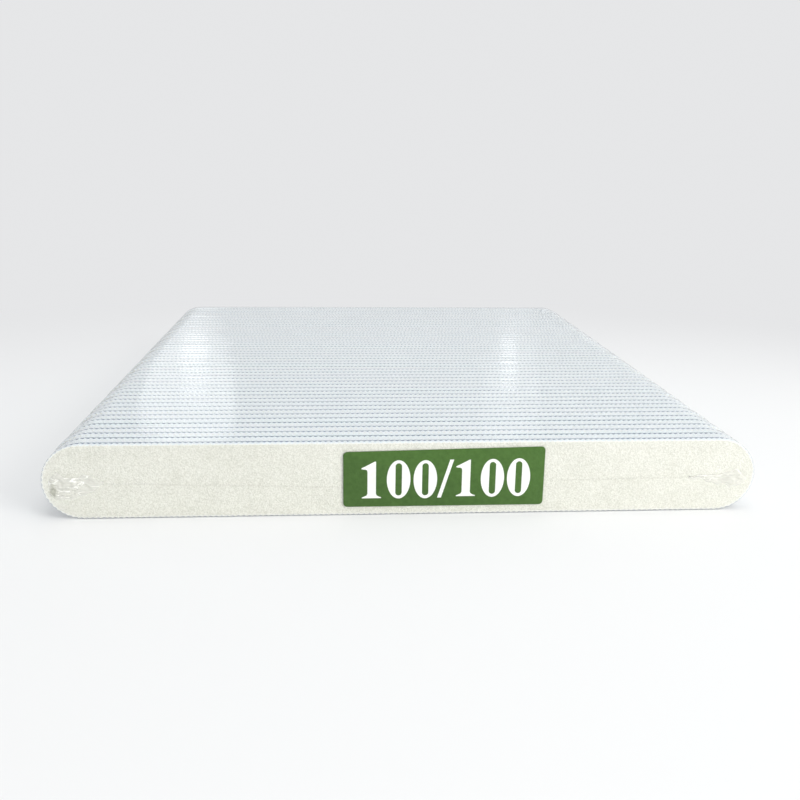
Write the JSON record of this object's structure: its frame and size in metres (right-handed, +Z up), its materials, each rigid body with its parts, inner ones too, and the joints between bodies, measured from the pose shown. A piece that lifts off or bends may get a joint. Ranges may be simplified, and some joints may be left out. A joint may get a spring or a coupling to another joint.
{
  "type": "pack of emery boards",
  "caption": "Straight double-sided emery boards with foam pads and a plastic core, shrink-wrapped face to face in clear film and stood on their long edges, with a green grit label.",
  "frame": {"origin": "on the surface that the pack stands on, under the middle of the stack of boards", "axes": "+X along the boards, towards the label's far end; +Y from the labelled front board to the back of the pack; +Z up, across the boards' width"},
  "size_m": [0.1792, 0.2011, 0.0193],
  "materials": {
    "grit_paper": "cream abrasive paper with a fine, even grain",
    "foam": "white closed-cell foam with die-cut edges",
    "core": "grey-blue plastic strip, cut edge",
    "board": "the same five layers as the front board: cream grit, white foam, grey-blue core",
    "film": "clear, glossy shrink film, slightly rippled",
    "label": "green coated label"
  },
  "bodies": {
    "root": {"board_01_front_grit_sheet": "grit_paper", "board_01_front_foam_pad": "foam", "board_01_core_strip": "core", "board_01_rear_foam_pad": "foam", "board_01_rear_grit_sheet": "grit_paper", "board_02": "board", "board_03": "board", "board_04": "board", "board_05": "board", "board_06": "board", "board_07": "board", "board_08": "board", "board_09": "board", "board_10": "board", "board_11": "board", "board_12": "board", "board_13": "board", "board_14": "board", "board_15": "board", "board_16": "board", "board_17": "board", "board_18": "board", "board_19": "board", "board_20": "board", "board_21": "board", "board_22": "board", "board_23": "board", "board_24": "board", "board_25": "board", "board_26": "board", "board_27": "board", "board_28": "board", "board_29": "board", "board_30": "board", "board_31": "board", "board_32": "board", "board_33": "board", "board_34": "board", "board_35": "board", "board_36": "board", "board_37": "board", "board_38": "board", "board_39": "board", "board_40": "board", "board_41": "board", "board_42": "board", "board_43": "board", "board_44": "board", "board_45": "board", "board_46": "board", "board_47": "board", "board_48": "board", "board_49": "board", "board_50": "board", "shrink_film": "film", "grit_label": "label"}
  },
  "joints": []
}
